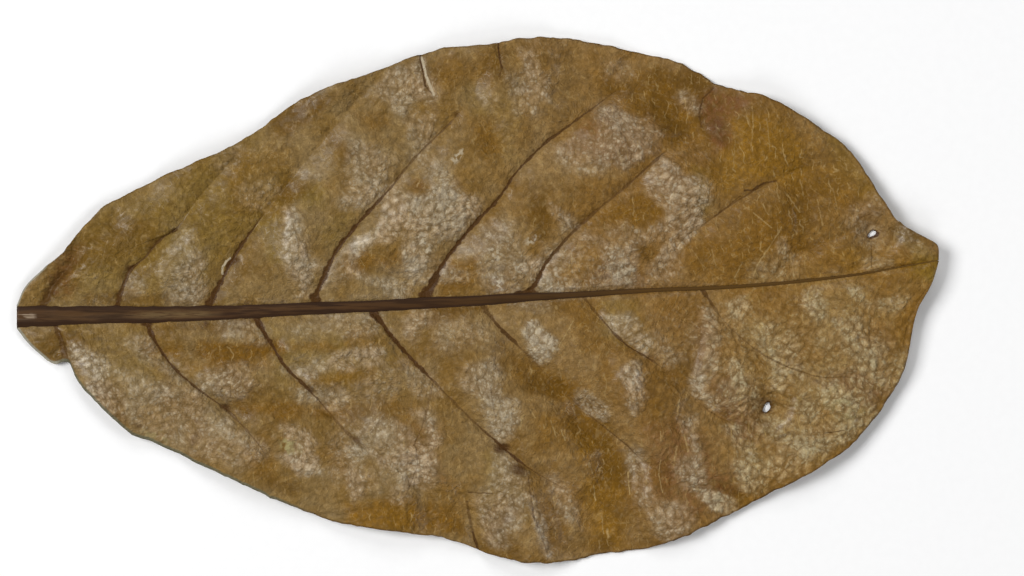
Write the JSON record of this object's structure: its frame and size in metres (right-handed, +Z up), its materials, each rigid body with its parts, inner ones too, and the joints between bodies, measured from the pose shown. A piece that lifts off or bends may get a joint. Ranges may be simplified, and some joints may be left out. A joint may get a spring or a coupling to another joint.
{
  "type": "indian almond leaf",
  "caption": "Dried, flat indian almond leaf, glossy brown, with a dark midrib and paired side veins; it lies on its under face.",
  "frame": {"origin": "under the middle of the leaf, on the surface that it lies on", "axes": "+X from the cut base to the tip, +Y towards the left half of the blade (up in the picture), +Z up out of the upper face"},
  "size_m": [0.2001, 0.114, 0.0054],
  "materials": {
    "leaf_blade": "satin",
    "leaf_rib": "satin"
  },
  "bodies": {
    "root": {"leaf": "leaf_blade"}
  },
  "joints": []
}
